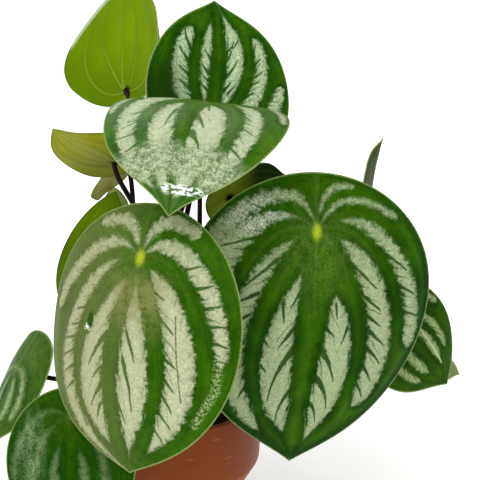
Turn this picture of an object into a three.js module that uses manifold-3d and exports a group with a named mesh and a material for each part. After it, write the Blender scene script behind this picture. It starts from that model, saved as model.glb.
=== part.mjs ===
// A peperomia in its pot: a clump of round, striped leaves, each on one thin stem that meets the
// middle of the blade from below. The stems all rise from a short stock that stands in the soil.
// Millimetres, +Z up. The origin is the middle of the pot's foot and -Y is the front of the plant.
import * as THREE from 'three';
import { mergeVertices } from 'three/addons/utils/BufferGeometryUtils.js';
import Module from 'manifold-3d';

const wasm = await Module();
wasm.setup();

const DEGREE = Math.PI / 180;
const GAP = 0.3;                 // between two pieces that touch

// Pot: a tall collar over a narrower, tapering body
const POT = {
  height: 82,
  rimRadius: 44,
  collarFootRadius: 42.3,
  collarFootZ: 50,
  shoulderRadius: 35.8,
  shoulderZ: 39,
  footRadius: 31,
  footChamfer: 1.5,
  wall: 2.2,
  floor: 3,
  drains: 4,
  drainRadius: 4,
  drainRing: 17,
  drainSides: 16,
  sides: 40,
};

// Soil: fills the pot to a little under the rim, rises a little towards the middle, and has a plain
// hole with a widened mouth for the stock
const SOIL = { edgeZ: 70, bankZ: 71.6, bankRadius: 26, mouthRadius: 12, mouthZ: 67 };

// Stock: the short, thick stem that every leaf stem grows from
const STOCK = {
  radius: 10,
  centreZ: 76,
  rise: 14,
  neckRadius: 7.5,
  neckZ: 68,
  footZ: 60,
  sides: 24,
  rings: 7,
};

// Leaf stems: each stands in a socket in the stock. headArm: the last bend, as a share of the span
const STEM = {
  radius: 1.2,
  sides: 6,
  steps: 10,
  headArm: 0.3,
  socketDepth: 3,
  socketRadius: 1.75,
  socketSides: 8,
};

// Rows of sockets, from the top of the stock down. fromZ: lowest leaf served. rise: how steeply the
// sockets point up. apart: least angle between two. arm: the stem's first bend, as a share of its span
const SOCKET_ROWS = [
  { fromZ: 186, rise: 70, apart: 54, arm: 0.5 },
  { fromZ: 130, rise: 45, apart: 30, arm: 0.45 },
  { fromZ: 0, rise: 22, apart: 28, arm: 0.4 },
];
const SPREADING_PASSES = 200;

// Blades: built on a polar grid round the point where the stem joins
const BLADE = { thickness: 0.9, rings: 4, spokes: 24, ripple: 0.8, ripples: 4, pointSpread: 0.35 };

// One row for each leaf. at: where the stem joins. heading: compass direction of the tip, from +X
// towards +Y. tilt: how far the tip points above the level. roll: right side down. tip, base and
// half: from the stem's joint to the tip, to the base and to the side. point: how far the tip is
// drawn out. arch: degrees that the blade bends down to its tip, base, left and right. egg: how far
// the widest place lies towards the base. stem: lengths of the stem's two bends, as shares. foot:
// compass direction of the stem's socket, where the stem crosses over the stock to reach its leaf.
const LEAVES = {
  front_left: { at: [-8, -61, 170], heading: -112, tilt: -63, roll: 6, tip: 92, base: 24, half: 48,
    point: 8, arch: [28, 7, 23, 27], egg: 0.06 },
  front_right: { at: [66, -35, 173], heading: -90, tilt: -72, roll: -20, tip: 110, base: 26, half: 57,
    point: 13, arch: [34, 4, 11, 18], egg: 0.22 },
  middle_top: { at: [18.5, -12, 224.5], heading: -98, tilt: 8.5, roll: -5.5, tip: 81, base: 22, half: 38.5,
    point: 13.5, arch: [64, 19, 1, 12], egg: 0.15 },
  upright: { at: [23.5, 18, 204.5], heading: 80, tilt: 72, roll: 40, tip: 64, base: 17, half: 37,
    point: 7.5, arch: [20, 12, 7, -2.5], egg: 0.16 },
  high_left: { at: [-21.5, 52, 217], heading: -114, tilt: 116, roll: -21, tip: 52.5, base: 10, half: 41.5,
    point: 4, arch: [30, 40, 48, 15], egg: 0.35, stem: [0.7, 0.04], foot: 40 },
  side_left: { at: [-23.5, 0, 195], heading: 203, tilt: 20, roll: 21, tip: 33, base: 11, half: 25,
    point: 3, arch: [-24, 19, -26, 18], egg: 0.24, stem: [0.55, 0.1], foot: -20 },
  small_left: { at: [-23, 46.5, 182], heading: -142, tilt: -19, roll: 54, tip: 26.5, base: 6, half: 12.5,
    point: 2, arch: [29, 8, 2, 12], egg: 0.08, stem: [0.4, 0.1] },
  inner_left: { at: [-39, 10, 139], heading: -4, tilt: 73, roll: -108, tip: 41, base: 27, half: 14.5,
    point: 3.5, arch: [-21, -12, -28, 13], egg: 0.25 },
  shade_left: { at: [-26.5, 50, 159], heading: 30, tilt: -88, roll: 0, tip: 32, base: 10, half: 16,
    point: 9, arch: [12, 7, 22, 19], egg: 0.15, stem: [0.45, 0.22] },
  far_left: { at: [-73, 0, 94], heading: -124, tilt: -50, roll: 26, tip: 41, base: 21, half: 26,
    point: 8, arch: [11, 17, 22, 38], egg: 0.19 },
  low_left: { at: [-42, -50, 91], heading: -87, tilt: -58, roll: 5, tip: 58, base: 15, half: 29,
    point: 9, arch: [27, 18, 14, 20], egg: 0.17 },
  right: { at: [103, -2, 120], heading: -14, tilt: -39, roll: 45, tip: 46, base: 17, half: 26,
    point: 8, arch: [37, 21, 8, 18], egg: 0.14 },
  small_right: { at: [122, 18, 97], heading: 7, tilt: -30, roll: 25, tip: 26, base: 8, half: 13,
    point: 5, arch: [23, 10, 25, 19], egg: 0.16 },
  edge_right: { at: [96, 40, 163], heading: 70, tilt: 77, roll: 98, tip: 34, base: 11, half: 17,
    point: 3, arch: [-11, 19, 22, 19], egg: 0.17 },
  inner_right: { at: [28, 6, 177], heading: 23, tilt: 18, roll: -59, tip: 35, base: 13, half: 19,
    point: 11, arch: [29, 16, 17, 14], egg: 0.17 },
  behind_top: { at: [33, 50, 209], heading: 51, tilt: 33, roll: 46, tip: 40, base: 12, half: 20,
    point: 9, arch: [36, 17, 16, 21], egg: 0.18 },
  back_right: { at: [55, 70, 138], heading: 80, tilt: -62, roll: 0, tip: 72, base: 22, half: 35,
    point: 9, arch: [30, 8, 18, 18], egg: 0.15 },
  back_left: { at: [-16, 72, 138], heading: 100, tilt: -60, roll: 4, tip: 66, base: 19, half: 32,
    point: 9, arch: [28, 8, 18, 20], egg: 0.15 },
  back_top: { at: [38, 78, 168], heading: 55, tilt: -34, roll: 0, tip: 55, base: 17, half: 27,
    point: 8, arch: [34, 14, 14, 14], egg: 0.17 },
  low_back_right: { at: [72, 50, 118], heading: 55, tilt: -50, roll: 0, tip: 50, base: 15, half: 25,
    point: 8, arch: [28, 10, 16, 16], egg: 0.15 },
  low_back: { at: [4, 46, 98], heading: 90, tilt: -35, roll: 0, tip: 55, base: 17, half: 27,
    point: 8, arch: [34, 12, 16, 16], egg: 0.15 },
  low_back_left: { at: [-35, 42, 108], heading: 115, tilt: -45, roll: 0, tip: 45, base: 14, half: 22,
    point: 8, arch: [30, 12, 16, 16], egg: 0.15 },
};

const COLOURS = {
  pot: { color: 0x8a4a2c, roughness: 0.55, metalness: 0 },
  soil: { color: 0x2b1d14, roughness: 0.95, metalness: 0 },
  stock: { color: 0x4a2b20, roughness: 0.8, metalness: 0 },
  stem: { color: 0x32120f, roughness: 0.45, metalness: 0 },
  leaf: { color: 0x3f7a2c, roughness: 0.4, metalness: 0 },
};

const group = new THREE.Group();

function place(name, geometry, finish) {
  const mesh = new THREE.Mesh(geometry, new THREE.MeshStandardMaterial(COLOURS[finish]));
  mesh.name = name;
  group.add(mesh);
}

// Solids for joining and cutting
function toSolid(geometry) {
  const bare = geometry.clone();
  bare.deleteAttribute('normal');
  bare.deleteAttribute('uv');
  const merged = mergeVertices(bare, 1e-4);
  const mesh = new wasm.Mesh({
    numProp: 3,
    vertProperties: Float32Array.from(merged.attributes.position.array),
    triVerts: Uint32Array.from(merged.index.array),
  });
  return new wasm.Manifold(mesh);
}

function toGeometry(solid) {
  const mesh = solid.getMesh();
  const geometry = new THREE.BufferGeometry();
  geometry.setAttribute('position', new THREE.BufferAttribute(mesh.vertProperties, 3));
  geometry.setIndex(new THREE.BufferAttribute(mesh.triVerts, 1));
  geometry.computeVertexNormals();
  return geometry;
}

// A profile of [radius, z] points, turned round the upright axis
function turned(profile, sides) {
  const points = profile.map(([radius, z]) => new THREE.Vector2(radius, z));
  return new THREE.LatheGeometry(points, sides).rotateX(Math.PI / 2);
}

// Pot
function innerRadius(z) {
  if (z > POT.collarFootZ) {
    const share = (z - POT.collarFootZ) / (POT.height - POT.collarFootZ);
    return POT.collarFootRadius + share * (POT.rimRadius - POT.collarFootRadius) - POT.wall;
  }
  if (z > POT.shoulderZ) {
    const share = (z - POT.shoulderZ) / (POT.collarFootZ - POT.shoulderZ);
    return POT.shoulderRadius + share * (POT.collarFootRadius - POT.shoulderRadius) - POT.wall;
  }
  const share = z / POT.shoulderZ;
  return POT.footRadius + share * (POT.shoulderRadius - POT.footRadius) - POT.wall;
}

function makePot() {
  const shell = toSolid(turned([
    [0, 0],
    [POT.footRadius - POT.footChamfer, 0],
    [POT.footRadius, POT.footChamfer],
    [POT.shoulderRadius, POT.shoulderZ],
    [POT.collarFootRadius, POT.collarFootZ],
    [POT.rimRadius, POT.height],
    [innerRadius(POT.height), POT.height],
    [innerRadius(POT.collarFootZ), POT.collarFootZ],
    [innerRadius(POT.shoulderZ), POT.shoulderZ],
    [innerRadius(POT.floor), POT.floor],
    [0, POT.floor],
  ], POT.sides));
  let pot = shell;
  for (let i = 0; i < POT.drains; i += 1) {
    const angle = ((i + 0.5) / POT.drains) * 2 * Math.PI;
    const { drainRadius, floor, drainSides } = POT;
    const drain = new THREE.CylinderGeometry(drainRadius, drainRadius, floor * 3, drainSides);
    drain.rotateX(Math.PI / 2);
    drain.translate(POT.drainRing * Math.cos(angle), POT.drainRing * Math.sin(angle), POT.floor / 2);
    pot = pot.subtract(toSolid(drain));
  }
  return toGeometry(pot);
}

function makeSoil() {
  const hole = STOCK.neckRadius + GAP;
  return turned([
    [0, POT.floor + GAP],
    [innerRadius(POT.floor + GAP) - GAP, POT.floor + GAP],
    [innerRadius(POT.shoulderZ) - GAP, POT.shoulderZ],
    [innerRadius(POT.collarFootZ) - GAP, POT.collarFootZ],
    [innerRadius(SOIL.edgeZ) - GAP, SOIL.edgeZ],
    [SOIL.bankRadius, SOIL.bankZ],
    [SOIL.mouthRadius, SOIL.edgeZ],
    [hole, SOIL.mouthZ],
    [hole, STOCK.footZ - GAP],
    [0, STOCK.footZ - GAP],
  ], POT.sides);
}

// Stock
function stockPoint(azimuth, rise) {
  const across = Math.cos(rise * DEGREE);
  const up = Math.sin(rise * DEGREE);
  const direction = new THREE.Vector3(Math.cos(azimuth) * across, Math.sin(azimuth) * across, up);
  const reach = 1 / Math.hypot(across / STOCK.radius, up / STOCK.rise);
  const surface = direction.clone().multiplyScalar(reach).add(new THREE.Vector3(0, 0, STOCK.centreZ));
  return { direction, surface };
}

function makeStock(sockets) {
  const { footZ, neckRadius, neckZ } = STOCK;
  const profile = [[0, footZ], [neckRadius, footZ], [neckRadius, neckZ]];
  for (let i = 0; i < STOCK.rings; i += 1) {
    const angle = (i / STOCK.rings) * 90 * DEGREE;
    profile.push([STOCK.radius * Math.cos(angle), STOCK.centreZ + STOCK.rise * Math.sin(angle)]);
  }
  profile.push([0, STOCK.centreZ + STOCK.rise]);
  let stock = toSolid(turned(profile, STOCK.sides));
  for (const { direction, surface } of sockets) {
    const length = STEM.socketDepth * 2;
    const bore = new THREE.CylinderGeometry(STEM.socketRadius, STEM.socketRadius, length, STEM.socketSides);
    const turn = new THREE.Quaternion().setFromUnitVectors(new THREE.Vector3(0, 1, 0), direction);
    bore.applyQuaternion(turn);
    bore.translate(surface.x, surface.y, surface.z);
    stock = stock.subtract(toSolid(bore));
  }
  return toGeometry(stock);
}

// Bearings, pushed apart in small steps until no two are closer than the least angle
function spread(bearings, apart) {
  const turn = 2 * Math.PI;
  const placed = [...bearings];
  for (let pass = 0; pass < SPREADING_PASSES; pass += 1) {
    for (let i = 0; i < placed.length; i += 1) {
      const next = (i + 1) % placed.length;
      const between = placed[next] - placed[i] + (next === 0 ? turn : 0);
      const push = Math.max(0, apart - between) / 2;
      placed[i] -= push;
      placed[next] += push;
    }
  }
  return placed;
}

function footBearing({ at, foot }) {
  return foot === undefined ? Math.atan2(at[1], at[0]) : foot * DEGREE;
}

// Each leaf stem gets the socket that faces its leaf, in the row for the leaf's height
function shareSockets() {
  const sockets = {};
  let ceiling = Infinity;
  for (const row of SOCKET_ROWS) {
    const inRow = ({ at }) => at[2] >= row.fromZ && at[2] < ceiling;
    const bearing = (name) => footBearing(LEAVES[name]);
    const names = Object.keys(LEAVES).filter((name) => inRow(LEAVES[name]));
    names.sort((a, b) => bearing(a) - bearing(b));
    spread(names.map(bearing), row.apart * DEGREE).forEach((azimuth, i) => {
      sockets[names[i]] = { ...stockPoint(azimuth, row.rise), arm: row.arm };
    });
    ceiling = row.fromZ;
  }
  return sockets;
}

// A point carried h above an arc that bends down by turn degrees over span
function bend(s, h, turn, span) {
  const curvature = (turn * DEGREE) / span;
  if (Math.abs(curvature) < 1e-6) return [s, h];
  const radius = 1 / curvature;
  return [(radius + h) * Math.sin(s * curvature), (radius + h) * Math.cos(s * curvature) - radius];
}

function leafAxes(leaf) {
  const heading = leaf.heading * DEGREE;
  const tilt = leaf.tilt * DEGREE;
  const along = new THREE.Vector3(
    Math.cos(tilt) * Math.cos(heading),
    Math.cos(tilt) * Math.sin(heading),
    Math.sin(tilt),
  );
  const level = new THREE.Vector3(Math.sin(heading), -Math.cos(heading), 0);
  const across = level.applyAxisAngle(along, leaf.roll * DEGREE);
  const up = new THREE.Vector3().crossVectors(across, along);
  return { across, along, up };
}

// The blade's flat outline at angle a from the tip, round the stem's joint
function outline(leaf, a) {
  const length = leaf.tip + leaf.base;
  const drawn = Math.exp(-Math.abs(a) / BLADE.pointSpread) - Math.max(0, Math.cos(a)) ** 2;
  const y = (leaf.tip - leaf.base) / 2 + (length / 2) * Math.cos(a) + leaf.point * drawn;
  const x = leaf.half * Math.sin(a) * (1 - leaf.egg * Math.cos(a));
  return [x, y];
}

function bladePoint(leaf, share, a, h) {
  const [tipArch, baseArch, leftArch, rightArch] = leaf.arch;
  const [x, y] = outline(leaf, a).map((value) => value * share);
  const ripple = BLADE.ripple * share ** 3 * Math.sin(BLADE.ripples * a + leaf.at[0]);
  const [across, lift] = bend(x, h + ripple, x < 0 ? leftArch : rightArch, leaf.half);
  const [along, up] = y > 0 ? bend(y, lift, tipArch, leaf.tip) : bend(y, lift, baseArch, leaf.base);
  return new THREE.Vector3(across, along, up);
}

function makeBlade(leaf) {
  const { across, along, up } = leafAxes(leaf);
  const matrix = new THREE.Matrix4().makeBasis(across, along, up).setPosition(...leaf.at);
  const positions = [];
  const index = [];
  const { rings, spokes } = BLADE;
  const faceSize = 1 + rings * spokes;
  for (const side of [1, -1]) {
    const h = (side * BLADE.thickness) / 2;
    positions.push(bladePoint(leaf, 0, 0, h));
    for (let ring = 1; ring <= rings; ring += 1) {
      for (let spoke = 0; spoke < spokes; spoke += 1) {
        const turn = (spoke / spokes) * 2 * Math.PI;
        const a = turn > Math.PI ? turn - 2 * Math.PI : turn;
        positions.push(bladePoint(leaf, ring / rings, a, h));
      }
    }
  }
  const at = (face, ring, spoke) => face * faceSize + (ring ? 1 + (ring - 1) * spokes + (spoke % spokes) : 0);
  for (let spoke = 0; spoke < spokes; spoke += 1) {
    const next = spoke + 1;
    index.push(at(0, 0, 0), at(0, 1, next), at(0, 1, spoke));
    index.push(at(1, 0, 0), at(1, 1, spoke), at(1, 1, next));
    for (let ring = 1; ring < rings; ring += 1) {
      const a = [ring, spoke];
      const b = [ring + 1, spoke];
      const c = [ring + 1, next];
      const d = [ring, next];
      index.push(at(0, ...a), at(0, ...c), at(0, ...b), at(0, ...a), at(0, ...d), at(0, ...c));
      index.push(at(1, ...a), at(1, ...b), at(1, ...c), at(1, ...a), at(1, ...c), at(1, ...d));
    }
    index.push(at(0, rings, spoke), at(0, rings, next), at(1, rings, spoke));
    index.push(at(0, rings, next), at(1, rings, next), at(1, rings, spoke));
  }
  const geometry = new THREE.BufferGeometry().setFromPoints(positions);
  geometry.setIndex(index);
  geometry.applyMatrix4(matrix);
  geometry.computeVertexNormals();
  return geometry;
}

// A stem runs from its socket, out along the socket, and up into the underside of its blade
function makeStem(leaf, socket) {
  const { up } = leafAxes(leaf);
  const foot = socket.surface.clone().addScaledVector(socket.direction, GAP - STEM.socketDepth);
  const head = new THREE.Vector3(...leaf.at).addScaledVector(up, -BLADE.thickness / 2 - GAP);
  const span = foot.distanceTo(head);
  const [low, high] = leaf.stem ?? [socket.arm, STEM.headArm];
  const path = new THREE.CubicBezierCurve3(
    foot,
    foot.clone().addScaledVector(socket.direction, low * span),
    head.clone().addScaledVector(up, -high * span),
    head,
  );
  const corners = [];
  for (let i = 0; i < STEM.sides; i += 1) {
    const a = (i / STEM.sides) * 2 * Math.PI;
    corners.push(new THREE.Vector2(STEM.radius * Math.cos(a), STEM.radius * Math.sin(a)));
  }
  return new THREE.ExtrudeGeometry(new THREE.Shape(corners), { steps: STEM.steps, extrudePath: path });
}

place('pot', makePot(), 'pot');
place('soil', makeSoil(), 'soil');

const sockets = shareSockets();
place('stock', makeStock(Object.values(sockets)), 'stock');

for (const [name, leaf] of Object.entries(LEAVES)) {
  place(`leaf_${name}`, makeBlade(leaf), 'leaf');
  place(`stem_${name}`, makeStem(leaf, sockets[name]), 'stem');
}

export default group;
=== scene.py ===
# %% [markdown]
# # A potted peperomia
# A clump of broad, pointed leaves, striped in dark green and silver, stands on thin dark red stems in
# a brown plastic pot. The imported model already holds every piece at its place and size. This file
# dresses it: each blade, stem, the stock, the soil and the pot gets a finer mesh that stands exactly
# where the plain solid stands, and a finish made from nodes.

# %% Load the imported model
import cmath
import functools
import math
import random
from typing import NamedTuple

import bmesh
import bpy
from mathutils import Matrix, Vector, noise


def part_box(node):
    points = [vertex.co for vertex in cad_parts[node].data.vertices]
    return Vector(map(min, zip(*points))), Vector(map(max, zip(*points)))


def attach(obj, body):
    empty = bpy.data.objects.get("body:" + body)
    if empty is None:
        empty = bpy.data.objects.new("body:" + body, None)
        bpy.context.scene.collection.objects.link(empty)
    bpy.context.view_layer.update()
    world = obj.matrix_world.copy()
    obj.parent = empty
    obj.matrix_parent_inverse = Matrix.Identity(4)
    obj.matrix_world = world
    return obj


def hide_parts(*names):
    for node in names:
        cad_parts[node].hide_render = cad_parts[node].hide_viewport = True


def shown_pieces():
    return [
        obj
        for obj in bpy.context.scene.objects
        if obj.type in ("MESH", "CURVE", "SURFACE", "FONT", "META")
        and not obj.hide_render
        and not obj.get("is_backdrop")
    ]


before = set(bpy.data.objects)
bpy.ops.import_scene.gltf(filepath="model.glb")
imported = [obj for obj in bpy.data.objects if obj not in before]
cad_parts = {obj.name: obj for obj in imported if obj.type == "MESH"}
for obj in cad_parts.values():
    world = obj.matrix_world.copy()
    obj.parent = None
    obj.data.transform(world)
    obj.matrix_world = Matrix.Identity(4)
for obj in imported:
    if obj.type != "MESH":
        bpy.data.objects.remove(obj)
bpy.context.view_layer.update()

# %% [markdown]
# ## Sizes
# Leaves are small things, so the tables below are in millimetres and degrees, and MM brings them to
# metres when a mesh is made. The leaf table holds the measures that the solids were built from, one
# row for each leaf.

# %% Leaf table
MM = 0.001
DEGREE = math.pi / 180


class Leaf(NamedTuple):
    at: tuple            # where the stem meets the blade
    heading: float       # compass heading of the tip
    tilt: float          # how far the tip points above the level
    roll: float          # how far the blade rolls to its right
    tip: float           # length from the stem's joint to the tip
    base: float          # length from the joint to the rounded base
    half: float          # half the width
    point: float         # how far the point is drawn out
    arch: tuple          # degrees that the blade bends down to its tip, base, left and right
    egg: float           # how much wider the blade is near its base
    stem: tuple = None   # how far the stem runs straight at its foot and its head, if not as others
    foot: float = None   # bearing of the stem's foot, where it isn't the leaf's own


LEAVES = {
    "front_left": Leaf((-8, -61, 170), -112, -63, 6, 92, 24, 48, 8, (28, 7, 23, 27), 0.06),
    "front_right": Leaf((66, -35, 173), -90, -72, -20, 110, 26, 57, 13, (34, 4, 11, 18), 0.22),
    "middle_top": Leaf((18.5, -12, 224.5), -98, 8.5, -5.5, 81, 22, 38.5, 13.5, (64, 19, 1, 12), 0.15),
    "upright": Leaf((23.5, 18, 204.5), 80, 72, 40, 64, 17, 37, 7.5, (20, 12, 7, -2.5), 0.16),
    "high_left": Leaf((-21.5, 52, 217), -114, 116, -21, 52.5, 10, 41.5, 4, (30, 40, 48, 15), 0.35,
                      stem=(0.7, 0.04), foot=40),
    "side_left": Leaf((-23.5, 0, 195), 203, 20, 21, 33, 11, 25, 3, (-24, 19, -26, 18), 0.24,
                      stem=(0.55, 0.1), foot=-20),
    "small_left": Leaf((-23, 46.5, 182), -142, -19, 54, 26.5, 6, 12.5, 2, (29, 8, 2, 12), 0.08,
                       stem=(0.4, 0.1)),
    "inner_left": Leaf((-39, 10, 139), -4, 73, -108, 41, 27, 14.5, 3.5, (-21, -12, -28, 13), 0.25),
    "shade_left": Leaf((-26.5, 50, 159), 30, -88, 0, 32, 10, 16, 9, (12, 7, 22, 19), 0.15,
                       stem=(0.45, 0.22)),
    "far_left": Leaf((-73, 0, 94), -124, -50, 26, 41, 21, 26, 8, (11, 17, 22, 38), 0.19),
    "low_left": Leaf((-42, -50, 91), -87, -58, 5, 58, 15, 29, 9, (27, 18, 14, 20), 0.17),
    "right": Leaf((103, -2, 120), -14, -39, 45, 46, 17, 26, 8, (37, 21, 8, 18), 0.14),
    "small_right": Leaf((122, 18, 97), 7, -30, 25, 26, 8, 13, 5, (23, 10, 25, 19), 0.16),
    "edge_right": Leaf((96, 40, 163), 70, 77, 98, 34, 11, 17, 3, (-11, 19, 22, 19), 0.17),
    "inner_right": Leaf((28, 6, 177), 23, 18, -59, 35, 13, 19, 11, (29, 16, 17, 14), 0.17),
    "behind_top": Leaf((33, 50, 209), 51, 33, 46, 40, 12, 20, 9, (36, 17, 16, 21), 0.18),
    "back_right": Leaf((55, 70, 138), 80, -62, 0, 72, 22, 35, 9, (30, 8, 18, 18), 0.15),
    "back_left": Leaf((-16, 72, 138), 100, -60, 4, 66, 19, 32, 9, (28, 8, 18, 20), 0.15),
    "back_top": Leaf((38, 78, 168), 55, -34, 0, 55, 17, 27, 8, (34, 14, 14, 14), 0.17),
    "low_back_right": Leaf((72, 50, 118), 55, -50, 0, 50, 15, 25, 8, (28, 10, 16, 16), 0.15),
    "low_back": Leaf((4, 46, 98), 90, -35, 0, 55, 17, 27, 8, (34, 12, 16, 16), 0.15),
    "low_back_left": Leaf((-35, 42, 108), 115, -45, 0, 45, 14, 22, 8, (30, 12, 16, 16), 0.15),
}
print("leaves:", len(LEAVES))

# %% [markdown]
# ## The silver stripes
# The main veins of this leaf leave the stem's joint all round, then swing forward and run together at
# the tip, like the lines of a field between two poles. So the pattern has its own map: `round` runs
# from 0 on the midrib to 1 on the margin, with a minus on the leaf's left, and `way` runs from 0 at
# the joint to 1 at the tip. In that map each silver stripe is a straight strip, and the main veins
# between the stripes are straight lines. The tables hold both in percent. A strip is written as (round
# at its start, round at its end, half width there, half width here, way at start, way at end), and a
# vein as (round at the joint, round at the tip). The four large leaves have strips of their own.
#
# The other values of a look say how clear the stripes are. `strength` is the silver's cover, `soft`
# the width of its edge, `lobes` and `cut` the number and the depth of the lobes, `net` the fine net in
# it, `breaking` how it breaks up near the joint, and `haze` where along the way it turns to dots.
# `shade` deepens the green along the margin, `joint` and `ribline` are the spot and the lines round
# the joint, and `gloss` is the shine. `under` and `vein` colour the underside.

# %% Stripe tables
PLAIN_RIGHT = [(27, 42, 3, 15, 28, 95), (54, 78, 3, 7.5, 10, 92), (78, 93, 3, 4, 5, 60)]
PLAIN_LEFT = [(-26, -38, 3, 16, 33, 95), (-52, -75, 3, 8, 12, 90), (-77, -94, 3, 4, 6, 55)]
PLAIN = dict(
    right=PLAIN_RIGHT, left=PLAIN_LEFT,
    ribs=[(-100, -100), (-66, -88), (-40, -62), (0, 0), (40, 62), (66, 88), (100, 100)],
    strength=0.85, soft=1.0, lobes=7, cut=1.0, net=0.25, breaking=0.4, haze=(0.97, 1.2),
    shade=0.25, joint=1.0, ribline=0.1, gloss=0.18,
    dark="#386700", deep="#1c4d02", silver="#a5b688", under="#7c8a1e", vein="#9aa24a")

LOOKS = {
    "front_left": dict(
        right=[(27, 60, 5, 17, 13, 98), (60, 90, 4.5, 6.5, 10, 100), (76, 94, 5, 3, 4.5, 46),
               (90, 95.5, 3.5, 3, 3.5, 13)],
        left=[(-2, -9, 4, 27, 13, 99), (-41, -71, 10, 15, 8, 98), (-76, -91, 7.5, 3.5, 3, 60),
              (-92, -95, 3.5, 3.5, 3, 14)],
        ribs=[(-100, -100), (-63, -88), (-27, -50), (12, 30), (52, 80), (72, 100), (100, 100)],
        strength=0.97, lobes=9, cut=0.4, breaking=0.2, gloss=0.1,
        dark="#346306", deep="#1f4a00", silver="#b6bb96", under="#7d8f33"),
    "front_right": dict(
        right=[(26, 48, 3, 22, 20, 98), (53, 88, 4.5, 7, 8, 95), (78.5, 93, 3, 11, 5, 50),
               (91.5, 95, 3.2, 5.5, 3, 50)],
        left=[(-29, -36, 4, 27, 33, 99), (-54, -82, 7, 9.5, 8, 89), (-75, -95, 4, 3.5, 6, 62),
              (-87, -94.5, 1.8, 1.6, 3, 17), (-96, -96.5, 1, 1, 3.5, 7.5)],
        strength=0.92, lobes=11, cut=0.5, net=0.4, shade=0.5, gloss=0.08, sheen=((26, -7), (18, 12)),
        dark="#346200", deep="#073400", silver="#a6b589", under="#7d8f33"),
    "middle_top": dict(
        right=[(44, 46, 6, 22, 16, 105), (75, 87, 7, 8, 10, 100), (94, 97, 2.5, 2, 12, 50)],
        left=[(-24, -27, 16, 32, 15, 105), (-70, -81, 6, 9, 13, 100), (-94, -96, 3, 2, 13, 45)],
        strength=0.96, cut=0.4, haze=(0.78, 0.9), shade=0.0, joint=0.2, gloss=0.05,
        dark="#4a7214", deep="#2c5a04", silver="#bcc6a0", under="#8c9c3c"),
    "upright": dict(
        right=[(4, 42, 4, 22, 22, 99), (48, 84, 10, 7, 20, 88), (78, 93, 6, 4, 25, 55)],
        left=[(-38, -33, 2, 11, 30, 97), (-64, -77, 6, 10, 26, 92)],
        strength=0.86, lobes=11, cut=0.5, net=0.8, shade=0.3, gloss=0.08,
        dark="#3b6c04", deep="#0e4200", silver="#c6dcac"),
    "high_left": dict(
        ribs=[(-100, -100), (-55, -85), (-15, -22), (30, 27), (38, 90), (75, 97), (100, 100)],
        under="#708e00", vein="#93a62c", rolled_edge_and_side_shade=True, gloss=0.06),
    "side_left": dict(under="#92961a", vein="#4d5412", gloss=0.05),
    # small_left's underside colour is near white, as painted light that lifts it out of its shade.
    "small_left": dict(under="#f4e890", vein="#8f8c40", gloss=0.05),
    "inner_left": dict(under="#5a7400", vein="#66781c", gloss=0.08),
    "shade_left": dict(under="#7f9418", vein="#929b3c", gloss=0.08),
    "far_left": dict(right=PLAIN_RIGHT[:2], left=PLAIN_LEFT[:2], strength=0.7, soft=2.6, lobes=4, joint=0.1,
                     gloss=0.06, dark="#4a6a22", deep="#204a06", silver="#aec288"),
    "low_left": dict(strength=0.42, soft=1.6, joint=0.06, ribline=0.02, gloss=0.08,
                     dark="#275400", deep="#083c02", silver="#86a06c"),
    "right": dict(lobes=9, cut=1.3, joint=0.1, gloss=0.08, dark="#335a00", deep="#123c00", silver="#a3b67a"),
    "small_right": dict(dark="#8c9a68", deep="#6f8248", silver="#c3cba6", under="#7d8a5a", vein="#96a070"),
    "edge_right": dict(gloss=0.03, dark="#3c4a16", deep="#2c3a0c", silver="#56643a",
                       under="#4c5a24", vein="#7a864a"),
    "inner_right": dict(under="#9aa81a", under_tip="#143000", vein="#6b7010", gloss=0.02),
    "behind_top": dict(under="#6c7020", vein="#8a7a4a", gloss=0.03),
}


def in_shares(look):
    """The look with the places of its strips and veins turned from percent to shares of one."""
    keys = ("right", "left", "ribs")
    return look | {key: [tuple(v / 100 for v in row) for row in look[key]] for key in keys}


STRIPES = {name: in_shares(PLAIN | LOOKS.get(name, {})) for name in LEAVES}
print("leaves with their own stripes:", sum("right" in look for look in LOOKS.values()))

# %% [markdown]
# ## Side veins
# Dark side veins cut into the silver of the large leaves like the barbs of a feather. Each is written
# as (round and way at its mouth, round and way at its end, all in percent, and half its width at the
# mouth in millimetres).

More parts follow.
